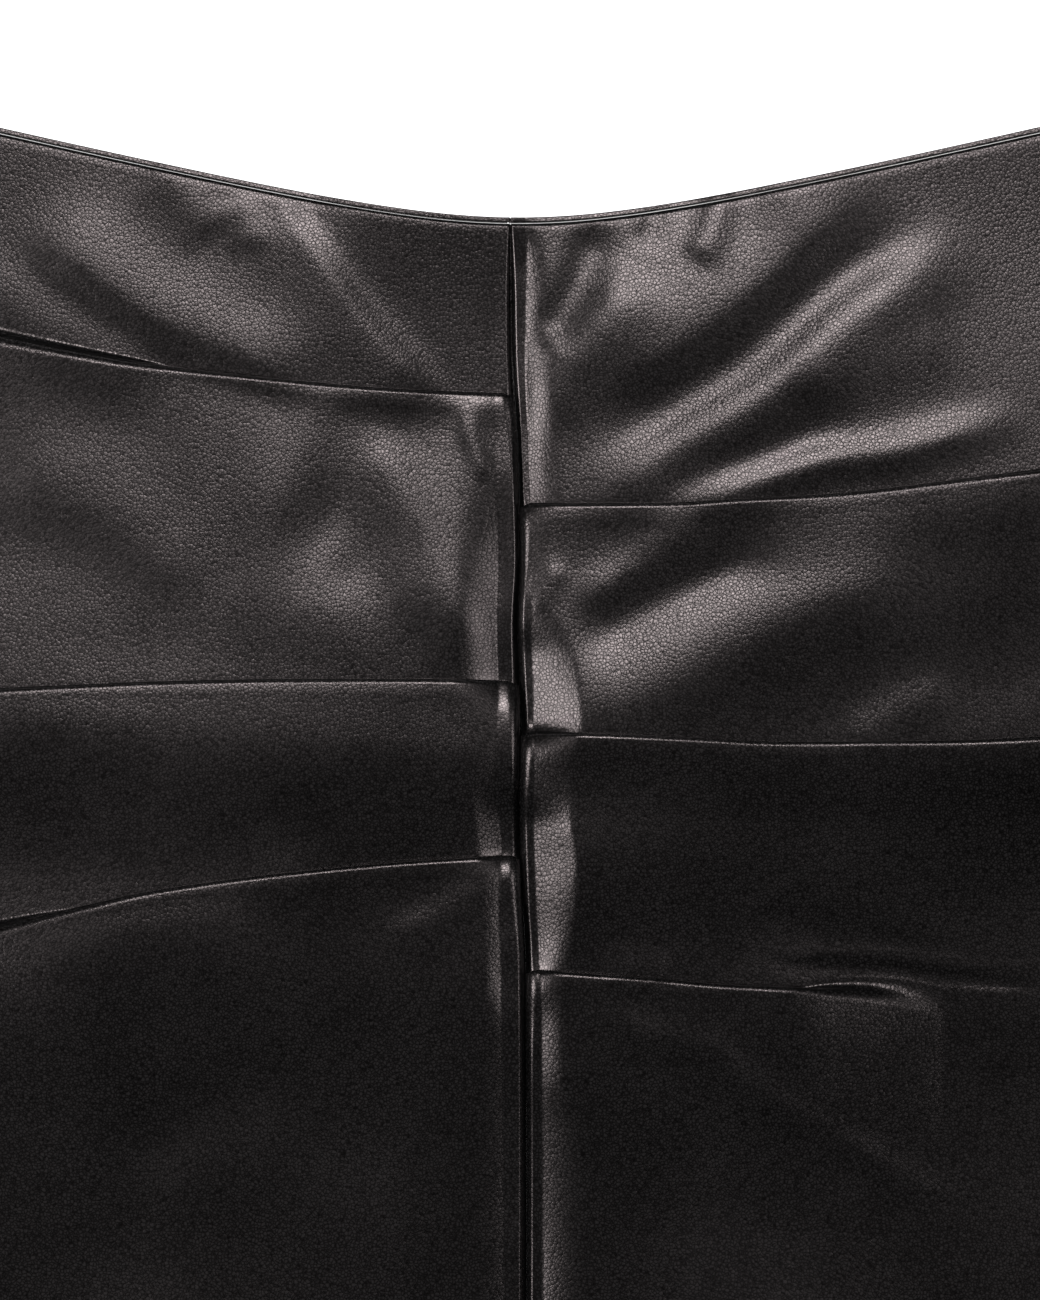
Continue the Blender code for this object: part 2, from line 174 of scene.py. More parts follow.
# The edge of a front panel rolls down into the centre seam. brow: from the seam to where the roll leans by
# BROW_LEAN and catches the light; radius: of the roll, which is fuller below each tuck.
SEAM_ROLL = {
    "left": {
        "down": (0, 10, 20, 43.7, 44.6, 54, 68, 115.6, 116.5, 126, 140, 158.8, 159.7, 174, 190, 735),
        "brow": (0.2, 0.7, 1.0, 1.1, 1.3, 1.2, 1.2, 1.4, 1.8, 1.6, 1.4, 1.4, 1.7, 1.4, 1.3, 1.2),
        "radius": (0.7, 0.9, 1.0, 1.0, 4.5, 3.0, 1.1, 1.0, 4.5, 3.0, 1.2, 1.0, 3.6, 2.4, 1.1, 1.0),
    },
    "right": {
        "down": (0, 10, 20, 71.2, 72.0, 84, 96, 128.0, 129.0, 140, 152, 187.3, 188.2, 198, 212, 735),
        "brow": (0.2, 0.7, 1.0, 1.1, 1.6, 1.4, 1.2, 1.5, 1.8, 1.6, 1.4, 1.5, 1.8, 1.5, 1.4, 1.2),
        "radius": (0.7, 0.9, 1.0, 1.0, 4.2, 3.0, 1.1, 1.0, 4.0, 2.8, 1.2, 1.0, 3.8, 2.6, 1.1, 1.0),
    },
}
BROW_LEAN = math.radians(25)
SEAM_LEAN = math.radians(62)  # the steepest that the roll gets
EDGE_LEFT = 0.1  # the least leather left at a rolled edge

# Beside the rolled edge is a pressed strip, and from start the panel climbs by depth over width. round: 0 for
# a straight climb, 1 for one that eases off all the way.
SeamRow = namedtuple("SeamRow", "down start width depth round")
SEAM_CLIMB = {
    "left": (
        (0, 4.0, 9, 0.3, 1),
        (44, 4.6, 9, 0.4, 1),
        (62, 5.0, 9, 0.7, 1),
        (76, 5.0, 11, 1.6, 1),
        (95, 5.0, 12, 2.8, 1),
        (116, 5.0, 11, 3.0, 0.8),
        (121, 5.4, 8, 1.4, 0.6),
        (128, 5.8, 7, 0.7, 0.5),
        (141, 6.0, 6, 0.9, 0.3),
        (150, 5.0, 6, 2.3, 0.2),
        (159, 4.4, 6, 2.2, 0.2),
        (163, 5.0, 5, 0.8, 0.5),
        (180, 5.8, 4, 0.7, 0.5),
        (190, 5.8, 4, 1.1, 0.5),
        (204, 5.6, 6, 0.7, 0.8),
        (300, 5.0, 9, 0.9, 1),
        (690, 5.0, 9, 0, 1),
    ),
    "right": (
        (0, 3.8, 7, 0.5, 1),
        (14, 3.6, 8, 1.8, 1),
        (50, 2.8, 9, 2.1, 1),
        (70, 2.6, 9, 1.6, 1),
        (77, 3.0, 8, 0.6, 1),
        (100, 3.2, 9, 0.8, 1),
        (110, 3.2, 11, 2.8, 0.4),
        (127, 3.2, 12, 3.8, 0.2),
        (132, 3.4, 10, 1.2, 0.4),
        (141, 3.4, 9.5, 1.2, 0.3),
        (146, 3.4, 9.5, 2.0, 0.1),
        (152, 3.4, 9.5, 3.5, 0),
        (160, 3.4, 10.5, 3.9, 0),
        (172, 3.4, 10, 3.4, 0.3),
        (187, 3.4, 7, 1.9, 0.6),
        (193, 3.6, 6, 0.8, 0.6),
        (200, 4.0, 5, 1.3, 0.4),
        (214, 4.0, 5, 1.5, 0.4),
        (228, 4.0, 10, 1.9, 0.5),
        (300, 4.0, 11, 1.8, 0.8),
        (690, 4.0, 10, 0, 1),
    ),
}

# How smooth the leather is pressed, from 0 to 1: on the strip beside the seam, and below a fold edge.
SEAM_PRESSED = {
    "left": {
        "down": (0, 44, 60, 84, 100, 116, 124, 150, 160, 180, 735),
        "share": (0, 0, 0.3, 0.6, 0.9, 0.9, 0.4, 0.5, 0.3, 0, 0),
    },
    "right": {
        "down": (0, 10, 40, 62, 72, 90, 120, 130, 150, 180, 190, 210, 735),
        "share": (0, 0.8, 0.8, 0.3, 0.3, 0.5, 0.3, 0.3, 0.7, 0.5, 0.3, 0.7, 0.6),
    },
}

STRIP_FADE_START = -1.6  # where the pressed strip starts to fade, from the start of the climb
STRIP_FADE = 2.6  # and the run over which it does
FOLD_PRESS_START = 2.0  # the run above a fold edge over which the leather gets smooth
FOLD_PRESS = 9.0  # and below it, over which it stops
FOLD_PRESS_REACH = 60.0  # how far from the centre seam a fold edge is pressed
FOLD_PRESS_SHARE = 0.6  # and how smooth

# Each panel above a tuck swells towards its lower edge, or sinks where a height is negative: by near beside
# the centre seam and by far away from it, in the waist's panel first.
Swell = namedtuple("Swell", "near far")
SWELL = {
    "left": ((-1.8, 0.2), (0.8, 1.8), (1.3, 2.0)),
    "right": ((0.8, 1.2), (1.6, 2.0), (0.2, 0.2)),
}
SWELL_NEAR = 14.0  # near reaches to here,
SWELL_FAR = 52.0  # and far starts here
SWELL_TOP = -9.4  # how far down the waist's panel starts to swell
SWELL_POWER = 1.3  # how late a panel swells
SWELL_END = {"left": 60.0, "right": 22.0}  # the run over which a swell ends beyond a fold edge

# The folds, as soft ridges along a path, or troughs where height is negative. panel: 0 is the one at the
# waist; above and below: how far the fold reaches to the waist side and to the hem side of its path; path:
# its points, each out and down.
Fold = namedtuple("Fold", "panel height above below path")
FOLDS = {
    "left": (
        (0, 1.8, 12, 30, ((-14, -7), (10, -9), (26, -12), (44, -20))),
        (0, 1.1, 4.5, 15, ((15, 50), (29, 36), (38, 26), (45, 16), (53, 5), (63, -8))),
        (0, 0.4, 4, 5, ((64, 9), (68, -6))),
        (0, 0.5, 6, 8, ((72, 6), (84, -8), (92, -14))),
        (0, 1.2, 13, 6, ((44, 44), (60, 37), (78, 30), (93, 22), (106, 13), (126, -2))),
        (0, 0.8, 11, 12, ((84, 44), (112, 30), (140, 10))),
        (1, 0.9, 7, 10, ((8, 114), (13, 104), (22, 82), (35, 60), (44, 50))),
        (1, -0.5, 8, 8, ((18, 112), (32, 98), (48, 82))),
        (1, -1.9, 26, 20, ((-10, 84), (12, 83), (30, 79), (48, 71), (60, 66))),
        (1, 0.7, 14, 9, ((76, 96), (90, 84), (112, 70), (134, 60))),
        (1, 0.5, 1.6, 2.5, ((0, 44), (8, 48), (16, 55))),
        (1, 0.4, 2, 2.5, ((7, 66), (10, 58), (12, 52))),
        (2, 0.7, 9, 12, ((10, 148), (30, 154), (50, 162), (72, 168))),
        (3, 0.6, 4, 7, ((-8, 153), (2, 161.5), (9, 167), (16, 171.5), (24, 176), (36, 183))),
        (3, 0.4, 8, 14, ((60, 178), (84, 179), (112, 186), (130, 194))),
        (3, -0.5, 9, 9, ((58, 205), (72, 218), (104, 238))),
        (3, 0.4, 13, 20, ((20, 256), (46, 248), (72, 243), (100, 248))),
        (3, 1.8, 24, 24, ((66, 250), (92, 320), (118, 400))),
        (3, 1.6, 28, 28, ((150, 215), (164, 360), (178, 520))),
        (3, 1.3, 24, 24, ((28, 330), (45, 475), (62, 620))),
        (3, 2.2, 30, 30, ((112, 440), (125, 650), (138, 860))),
        (3, 1.5, 22, 22, ((196, 500), (200, 670), (204, 840))),
    ),
    "right": (
        (0, -0.9, 5, 6, ((8, 34), (11, 27), (18, 14), (22, 0))),
        (0, 0.8, 7, 9, ((4, 54), (8, 46), (15, 36), (24, 25), (34, 12))),
        (0, 0.8, 4, 5, ((45, 12), (50, 3), (54, -10))),
        (0, -0.4, 2.5, 3, ((33, 8), (37, -5))),
        (0, -1.6, 12, 24, ((-6, -7), (20, -8), (44, -12), (66, -20))),
        (0, 1.2, 18, 8, ((12, 46), (28, 38), (40, 31), (54, 21), (66, 11), (80, -2), (94, -14))),
        (0, -0.6, 7, 5, ((18, 60), (36, 50), (50, 42), (61, 35.5), (72, 25), (81, 16), (92, 9), (107, -2))),
        (0, 1.35, 8, 10, ((6, 79), (17, 73), (32, 64), (46, 55.5), (59, 48), (66, 42.5), (73, 36.5), (82, 29),
                         (92, 22), (101, 15), (117, 0))),
        (0, -0.45, 8, 5, ((30, 71), (46, 63), (58, 60), (69, 56), (86, 49))),
        (0, 1.0, 4.5, 5, ((30, 75), (42, 73), (56, 68), (67, 64), (77, 61), (92, 59), (112, 54), (130, 48))),
        (0, 0.5, 8, 8, ((70, 46), (90, 38), (114, 28))),
        (1, 0.6, 5, 5, ((14, 99), (24, 90), (32, 85), (48, 74))),
        (1, -0.8, 6, 6, ((12, 109), (27, 101), (37, 96), (48, 90), (66, 80))),
        (1, 1.5, 13, 14, ((-2, 134), (8, 130), (20, 125), (34, 119), (48, 112), (62, 105), (75, 98), (88, 93),
                         (110, 86))),
        (1, 0.5, 5, 6, ((80, 133), (94, 124), (110, 117))),
        (1, 0.4, 3, 3, ((3, 99), (10, 86))),
        (2, 0.35, 2, 3, ((50, 186), (56, 175), (66, 165))),
        (2, 0.25, 5, 5, ((44, 193), (60, 190), (74, 192))),
        (2, 0.4, 5, 5, ((18, 190), (28, 188), (36, 191))),
        (2, 0.35, 1.4, 1.6, ((56, 182), (66, 184.5), (76, 184.2), (91, 185), (104, 187), (130, 190))),
        (2, -0.5, 1.5, 1.5, ((56, 184), (66, 187.2), (77, 187.4), (91, 188), (105, 190), (132, 193))),
        (2, 0.4, 12, 5, ((58, 166), (80, 171), (108, 180))),
        (3, 0.4, 4, 5, ((12, 196), (28, 203), (45, 208), (60, 220), (80, 231))),
        (3, 0.3, 3, 4, ((74, 228), (92, 238), (106, 246))),
        (3, 1.8, 24, 24, ((52, 262), (74, 340), (96, 420))),
        (3, 1.7, 28, 28, ((136, 205), (143, 350), (150, 500))),
        (3, 1.3, 22, 22, ((30, 400), (37, 550), (44, 700))),
        (3, 2.0, 30, 30, ((92, 420), (96, 635), (100, 850))),
        (3, 1.8, 26, 26, ((176, 430), (181, 650), (186, 870))),
    ),
}

FOLD_START = 8.0  # the run over which a panel's folds start below a fold edge
FOLD_END = 22.0  # and over which they end beyond the next
FOLD_TAPER = 0.25  # share of a fold's length over which each end dies away
PATH_STEPS = 24  # points along its path

# How finely a panel is drawn.
FIXED_REACH = 110.0  # columns up to here keep their distance from the seam, and the rest spread to the side
EDGE_STEPS = 6  # over a rounded edge
ROLL_STEP = 0.2  # over the edge that rolls into the centre seam
ROLL_REACH = 3.0
STRIP_STEP = 0.4  # over the pressed strip
STRIP_REACH = 7.0
SEAM_STEP = 0.9  # over the climb beside it
SEAM_REACH = 17.0
FIELD_STEP = 1.6
SIDE_STEP = 4.0
BEND_STEPS = 8
HEM_STEPS = 6
PLY_ROWS = (0.25, 0.5, 0.75)  # the rows on a hidden ply
ROLL_STEPS = 10  # points across the waist's rolled strip
BACK_STEP = 16.0
FINE_SKIRT = 95.0  # below the last tuck, this much is as fine as the panels above
SKIRT_STEP = 5.0
WAIST_ROUNDS = 4  # rounds that settle where the waist edge crosses each column

# The leather's grain is pebbles with valleys between them. Scales are in features a metre.
PRESSED_LAYER = "pressed"  # the mesh attribute that says where the leather is pressed smooth
GRAIN = 1220
GRAIN_DEPTH = 0.034
GRAIN_BEND = 0.75  # how far the pebbles are moved about, in pebbles
GRAIN_BEND_SCALE = 0.55 * GRAIN
VALLEY_WIDTH = 0.16  # from its middle to its edge, in pebbles
VALLEY_SOFTNESS = 0.1  # of its edge
VALLEY_DEPTH = 1.6  # share of the valleys in the grain's height
FINE_SCALE = 5 * GRAIN
FINE_DEPTH = 0.16  # and of fine noise
BROAD_SCALE = 60
BROAD_SWING = 0.9  # how much deeper the grain is in some places
BROAD_LEAST = 0.55  # and the least that it is
PRESSED_FLAT = 0.7  # how much of the grain is pressed out

# Its colour and shine, with painted shade that makes them darker in the valleys between the pebbles.
UNEVEN_SCALE = 25
UNEVEN_LEAST = 0.5  # the tops vary from this up
TOP_RISE = 3.0  # how fast the leather goes from valley to top
TOP_PRESSED = 0.5  # how much nearer to a top it shines where it is pressed
VALLEY_SHADE_COLOURS = {"valley": (0.0003, 0.0003, 0.0003, 1), "top": (0.0092, 0.0088, 0.009, 1)}
VALLEY_SHADE_SHINES = {"valley": (0.42, 0.37, 0.37, 1), "top": (1.0, 0.86, 0.86, 1)}
ROUGHNESS = 0.24
ROUGHNESS_SWING = 0.08
PRESSED_SHINE = 0.05  # less rough where it is pressed

# The photograph's view.
PHOTO_SIZE = (1040, 1300)  # pixels
PIXELS_PER_MM = 4.0
SEAM_PIXEL = 518  # the column of the skirt's middle
WAIST_PIXEL = 217  # the row of the waist edge's lowest point
CAMERA_HEIGHT = 2.2  # metres above the leather
LEATHER_LEVEL = 7.0  # height of the leather that has the photograph's scale
SENSOR = 36.0
VIEW_END = 100.0  # how far the camera sees, in metres

# The studio, in metres and watts. place: from the middle of the view.
Light = namedtuple("Light", "place size power")
LIGHTS = {
    "waist_light": Light((0, 0.6, 1.3), (0.4, 0.22), 13),
    "left_light": Light((-1.0, 0, 1.2), (0.5, 0.5), 18),
    "right_light": Light((1.0, 0, 1.2), (0.5, 0.5), 7),
}
FLOOR_HALF = 15.0
FLOOR_DROP = 0.0003  # below the skirt
FLOOR_COLOUR = (0.9, 0.9, 0.9, 1)
FLOOR_ROUGHNESS = 0.9
FLOOR_GLOW = 0.8  # what the lights leave to reach the photograph's white
WORLD_GLOW = 0.02
WHITE = (1, 1, 1, 1)


def tangents(x, y):
    """Slopes of a smooth curve through a table's rows that never overshoots them."""
    secants = np.diff(y) / np.diff(x)
    slopes = np.zeros_like(y)
    slopes[[0, -1]] = secants[[0, -1]]
    before, after = secants[:-1], secants[1:]
    total = np.where(before * after > 0, before + after, 1)
    slopes[1:-1] = np.where(before * after > 0, 2 * before * after / total, 0)
    return slopes


def curve(at, x, y):
    """The smooth curve through a table's rows, level past its ends."""
    x = np.asarray(x, float)
    y = np.asarray(y, float)
    slopes = tangents(x, y)
    at = np.clip(at, x[0], x[-1])
    i = np.clip(np.searchsorted(x, at, side="right") - 1, 0, len(x) - 2)
    step = x[i + 1] - x[i]
    t = (at - x[i]) / step
    rise = y[i + 1] - y[i]
    start = slopes[i] * step
    end = slopes[i + 1] * step
    return y[i] + t * (start + t * (3 * rise - 2 * start - end + t * (start + end - 2 * rise)))


def table_curve(at, table):
    """The smooth curve of a table of two named columns."""
    return curve(at, *table.values())


def ease(share):
    """0 to 1, level at both ends."""
    t = np.clip(share, 0, 1)
    return t * t * (3 - 2 * t)


def sign(side):
    """-1 on the left and 1 on the right."""
    return -1 if side == "left" else 1


def front_seam(down):
    """Where the centre-front seam lies across the skirt."""
    return table_curve(down, FRONT_SEAM)


def back_seam(down):
    """Where the centre-back seam lies across the skirt."""
    return BACK_SEAM + 0 * down


def panel_width(side, down, seam):
    """From a centre seam to the side seam."""
    return table_curve(down, SIDE_SEAM) - sign(side) * seam(down) - GAP / 2


def even(start, end, step):
    """Evenly spaced values from start, up to but not including end."""
    return np.linspace(start, end, max(2, round((end - start) / step) + 1))[:-1]


def make_columns():
    """Where the columns of a panel lie: a fixed distance, a share of the way to the side, less an inset."""
    edge = CORNER * (1 - np.cos(np.linspace(0, math.pi / 2, EDGE_STEPS)))[:-1]
    roll = even(0, ROLL_REACH, ROLL_STEP)
    strip = even(ROLL_REACH, STRIP_REACH, STRIP_STEP)
    near = even(STRIP_REACH, SEAM_REACH, SEAM_STEP)
    field = even(SEAM_REACH, FIXED_REACH, FIELD_STEP)
    shares = np.linspace(0, 1, round(FIXED_REACH / SIDE_STEP))
    fixed = np.concatenate([roll, strip, near, field, np.full(len(shares) + len(edge), FIXED_REACH)])
    share = np.zeros(len(fixed))
    share[-len(shares) - len(edge) :] = np.concatenate([shares, np.ones(len(edge))])
    inset = np.zeros(len(fixed))
    inset[-len(edge) - 1 :] = [CORNER, *edge[::-1]]
    return fixed, share, inset


COLUMNS = make_columns()


def place_out(side, down, seam):
    """Each column's distance out from the centre seam, where it is this far down."""
    fixed, share, inset = COLUMNS
    return fixed + share * (panel_width(side, down, seam) - FIXED_REACH) - inset


def across(side, out, down, seam):
    """X of a point of a panel."""
    return seam(down) + sign(side) * (GAP / 2 + out)


def waist_down(side, seam):
    """The waist edge's distance down, in each column."""
    down = np.zeros(len(COLUMNS[0]))
    for _ in range(WAIST_ROUNDS):
        x = across(side, place_out(side, down, seam), down, seam)
        down = -WAIST_BOW * (np.sqrt(1 + (x / WAIST_BEND) ** 2) - 1)
    return down


def hem_down(side, seam):
    """The hem's distance down, in each column."""
    out = place_out(side, LENGTH, seam)
    return LENGTH - HEM_BOW * (out / out[-1]) ** 2


def tuck_at(rows, out):
    """One tuck's table, read at distances out from the seam."""
    columns = TuckRow(*np.array(rows, float).T)
    return TuckRow(out, *(curve(out, columns.out, column) for column in columns[1:]))


def fold_edge(side, panel, out):
    """How far down the lower edge of a panel is, which is the next tuck's fold edge."""
    return tuck_at(TUCKS[side][panel], out).edge


def within(side, panel, out, down, end):
    """1 on a panel between its two tucks, and 0 above it and past end below it."""
    share = np.ones_like(down)
    if panel > 0:
        share = share * ease((down - fold_edge(side, panel - 1, out)) / FOLD_START)
    if panel < len(TUCKS[side]):
        share = share * (1 - ease((down - fold_edge(side, panel, out)) / end))
    return share


def swell(side, panel, out, down):
    """A panel's rise towards its lower edge."""
    top = fold_edge(side, panel - 1, out) if panel else SWELL_TOP + 0 * out
    share = np.clip((down - top) / (fold_edge(side, panel, out) - top), 0, 1)
    row = Swell(*SWELL[side][panel])
    height = row.near + (row.far - row.near) * ease((out - SWELL_NEAR) / (SWELL_FAR - SWELL_NEAR))
    return height * share**SWELL_POWER


def smooth_path(path):
    """Evenly spaced points along the smooth curve through a path's points."""
    points = np.array(path, float)
    lengths = np.hypot(*np.diff(points, axis=0).T)
    at = np.concatenate([[0], np.cumsum(lengths)])
    steps = np.linspace(0, at[-1], PATH_STEPS)
    return np.stack([curve(steps, at, points[:, 0]), curve(steps, at, points[:, 1])])


def fold(row, out, down):
    """One soft fold, which dies away at both ends."""
    out0, down0 = smooth_path(row.path)
    nearest = np.full(out.shape, np.inf)
    along = np.zeros(out.shape)
    aside = np.zeros(out.shape)
    for i in range(PATH_STEPS - 1):
        run_out, run_down = out0[i + 1] - out0[i], down0[i + 1] - down0[i]
        length = math.hypot(run_out, run_down)
        share = ((out - out0[i]) * run_out + (down - down0[i]) * run_down) / length**2
        share = np.clip(share, 0, 1)
        off_out = out - out0[i] - share * run_out
        off_down = down - down0[i] - share * run_down
        distance = np.hypot(off_out, off_down)
        closer = distance < nearest
        side_of_path = np.sign(off_out * run_down - off_down * run_out) * (1 if run_out > 0 else -1)
        nearest = np.where(closer, distance, nearest)
        along = np.where(closer, (i + share) / (PATH_STEPS - 1), along)
        aside = np.where(closer, side_of_path, aside)
    reach = np.where(aside > 0, row.above, row.below)
    ends = ease(along / FOLD_TAPER) * ease((1 - along) / FOLD_TAPER)
    return row.height * ends * np.exp(-((nearest / reach) ** 2))


def seam_climb(side, out, down):
    """How deep the panel lies beside the centre seam."""
    columns = SeamRow(*np.array(SEAM_CLIMB[side], float).T)
    start, width, depth, easing = (curve(down, columns.down, column) for column in columns[1:])
    share = np.clip((out - start) / width, 0, 1)
    climb = share + easing * share * (1 - share)
    return depth * (1 - climb)


def seam_roll(side, out, down):
    """How far the panel's edge has rolled down at a distance from the centre seam."""
    table = SEAM_ROLL[side]
    brow = curve(down, table["down"], table["brow"])
    radius = curve(down, table["down"], table["radius"])
    across_roll = brow + radius * math.sin(BROW_LEAN) - out
    on_arc = np.clip(across_roll, 0, radius * math.sin(SEAM_LEAN))
    arc = radius - np.sqrt(radius**2 - on_arc**2)
    return arc + np.maximum(across_roll - on_arc, 0) * math.tan(SEAM_LEAN)


def own_relief(side, out, down):
    """How far one front is lifted by its tucks and folds."""
    height = table_curve(down, LIFT[side])
    for panel in range(len(TUCKS[side])):
        height = height + within(side, panel, out, down, SWELL_END[side]) * swell(side, panel, out, down)
    shares = [within(side, panel, out, down, FOLD_END) for panel in range(len(TUCKS[side]) + 1)]
    for numbers in FOLDS[side]:
        row = Fold(*numbers)
        height = height + shares[row.panel] * fold(row, out, down)
    return height - seam_climb(side, out, down)


def seam_step_half():
    """How much higher the right front is than the left beside the seam, halved and evened out, row by row."""
    edge = np.full_like(SEAM_ROWS, SEAM_EDGE)
    half = (own_relief("right", edge, SEAM_ROWS) - own_relief("left", edge, SEAM_ROWS)) / 2
    window = np.hanning(SEAM_WINDOW)
    return np.convolve(np.pad(half, SEAM_WINDOW // 2, "edge"), window / window.sum(), "valid")


SEAM_STEP_HALF = seam_step_half()


def relief(side, out, down):
    """How far the front is lifted above pressed flat."""
    to_middle = -sign(side) * np.interp(down, SEAM_ROWS, SEAM_STEP_HALF)
    height = own_relief(side, out, down) + to_middle * (1 - ease((out - SEAM_EDGE) / SEAM_BLEND))
    height = height - np.maximum(seam_roll(side, out, down) - LEATHER + EDGE_LEFT, 0)
    inside = ease((panel_width(side, down, front_seam) - out) / SIDE_FALL)
    hem = ease((down - HEM_RAMP_END + HEM_RAMP) / HEM_RAMP)
    return hem * HEM_LIFT + inside * np.maximum(height, 0)


def rounded(distance, radius):
    """How far the outer face drops at a distance from an edge."""
    inside = np.clip(radius - distance, 0, radius)
    return radius - np.sqrt(radius**2 - inside**2)


class Strip:
    """Rows of a pressed panel: down, height and lean of the leather's middle, for every column."""

    def __init__(self):
        self.down = []
        self.height = []
        self.lean = []

    def add(self, down, height, lean):
        """Adds a row."""
        self.down.append(down)
        self.height.append(height)
        self.lean.append(lean)

    def run(self, length, steps):
        """Goes straight on."""
        down, height, lean = self.down[-1], self.height[-1], self.lean[-1]
        for share in steps:
            along = share * length
            self.add(down + along * np.cos(lean), height + along * np.sin(lean), lean)

    def bend(self, turn, length):
        """Bends up by an angle, or down where it is negative."""
        step = turn / BEND_STEPS
        chord = length / BEND_STEPS * np.sinc(step / 2 / math.pi)
        for _ in range(BEND_STEPS):
            lean = self.lean[-1] + step / 2
            down = self.down[-1] + chord * np.cos(lean)
            self.add(down, self.height[-1] + chord * np.sin(lean), lean + step / 2)


def tuck_start(edge, under, turn, bend):
    """How far down the leather first bends, so that the fold's edge lands on its line."""
    sine = np.sinc(turn / math.pi)
    edge_bend = np.where(turn > math.pi / 2, bend / np.maximum(turn, 1), bend * sine)
    face = LEATHER / 2 * np.sin(np.minimum(turn, math.pi / 2))
    return edge + edge_bend + face - 2 * bend * sine - under * np.cos(turn)


def add_section(strip, start, end, on, under, step, shares, fall):
    """Adds a panel from start to end: on lies on a tuck, and under lies beneath the next one. Past the tuck it
    comes down by step over fall. shares: where its rows are, between on and under."""
    free = start + on
    room = end - under - free
    fall = np.minimum(fall, room)

    def add(down):
        share = (down - free) / fall
        t = np.clip(share, 0, 1)
        slope = -step * 6 * t * (1 - t) / fall
        strip.add(down, step * (1 - ease(share)), np.arctan(slope))

    if np.any(on):
        for share in PLY_ROWS:
            add(start + share * on)
    for share in shares:
        add(free + share * room)
    if np.any(under):
        for share in PLY_ROWS:
            add(end - (1 - share) * under)
        add(end)


def turn_hem(strip):
    """Adds the end of a panel and its hem, which is folded back inside."""
    steps = np.linspace(0, 1, HEM_STEPS + 1)[1:]
    strip.run(HEM_TURN, steps)
    strip.bend(np.full_like(strip.down[-1], -math.pi), PRESSED)
    strip.run(HEM_TURN, steps)


def rows_between(run, step):
    """Shares of an evenly drawn run."""
    return np.linspace(0, 1, max(2, round(run / step) + 1))


def edge_insets():
    """Distances from a rounded edge, fine where it is steep."""
    return CORNER * (1 - np.cos(np.linspace(0, math.pi / 2, EDGE_STEPS)))


def pressed_front(side):
    """A front panel pressed flat, with its tucks and its turned hem."""
    strip = Strip()
    start = waist_down(side, front_seam) + WAIST_ROLL + GAP
    for inset in edge_insets()[:-1]:
        strip.add(start + inset, 0 * start, 0 * start)
    start = start + CORNER
    on = step = 0 * start
    fall = 1
    for rows, next_fall in zip(TUCKS[side], FALL[side]):
        tuck = tuck_at(rows, place_out(side, tuck_at(rows, FIXED_REACH).edge, front_seam))
        turn = np.radians(tuck.turn)
        end = tuck_start(tuck.edge, tuck.under, turn, tuck.bend)
        run = float((end - tuck.under - start - on)[0])
        add_section(strip, start, end, on, tuck.under, step, rows_between(run, FIELD_STEP), fall)
        strip.bend(turn, tuck.bend)
        strip.run(tuck.under, (*PLY_ROWS, 1))
        strip.bend(-turn, tuck.bend)
        start, step, on, fall = strip.down[-1], strip.height[-1], tuck.under + LEATHER, next_fall
    turned = hem_down(side, front_seam) - HEM_BEND_REACH - HEM_TURN
    run = float((turned - start - on)[0])
    fine = FINE_SKIRT / run
    near = fine * rows_between(FINE_SKIRT, FIELD_STEP)
    far = np.linspace(fine, 1, round(run / SKIRT_STEP))[1:]
    add_section(strip, start, turned, on, 0 * turned, step, [*near, *far], fall)
    turn_hem(strip)
    return strip


def pressed_back(side):
    """A back panel pressed flat, with its turned hem. Its outer face looks the way the front's does."""
    strip = Strip()
    start = waist_down(side, back_seam) + WAIST_ROLL + GAP
    for inset in edge_insets()[:-1]:
        strip.add(start + inset, 0 * start, 0 * start)
    turned = hem_down(side, back_seam) - HEM_BEND_REACH - HEM_TURN
    none = 0 * turned
    add_section(strip, start + CORNER, turned, none, none, none, rows_between(LENGTH, BACK_STEP), 1)
    turn_hem(strip)
    return strip


def pressed_roll(side, seam):
    """The rolled strip along the waist edge of one panel."""
    strip = Strip()
    start = waist_down(side, seam)
    for inset in roll_insets():
        strip.add(start + inset, 0 * start, 0 * start)
    return strip


def roll_insets():
    """Distances across the rolled strip, fine at its two edges."""
    return WAIST_ROLL / 2 * (1 - np.cos(np.linspace(0, math.pi, ROLL_STEPS)))


def faces(strip, side, seam, row_drop):
    """The outer and inner faces of a pressed strip, as grids of out, down and height. row_drop: how far the
    outer face drops, row by row."""
    down, height, lean = (np.array(rows) for rows in (strip.down, strip.height, strip.lean))
    out = place_out(side, down, seam)
    from_side = np.maximum(panel_width(side, down, seam) - out, 0)
    rolled = np.minimum(seam_roll(side, out, down), LEATHER - EDGE_LEFT)
    drop = np.maximum(np.maximum(rounded(from_side, CORNER), rolled), row_drop[:, None])
    grids = []
    for offset in (LEATHER / 2 - drop, np.full_like(down, -LEATHER / 2)):
        face_down = down - offset * np.sin(lean)
        face_height = height + offset * np.cos(lean)
        grids.append((place_out(side, face_down, seam), face_down, face_height))
    return grids


def y_of(down):
    """Y in millimetres of a distance down."""
    top = -WAIST_BOW * (math.hypot(1, SIDE_SEAM["half_width"][0] / WAIST_BEND) - 1)
    return (LENGTH + top) / 2 - down


def mesh_points(grid, side, front):
    """A face's points in metres."""
    out, down, height = grid
    seam = front_seam if front else back_seam
    if front:
        z = FRONT_MIDDLE + height + relief(side, out, down)
    else:
        z = LEATHER / 2 - height
    return np.stack([across(side, out, down, seam), y_of(down), z], axis=-1) * MM


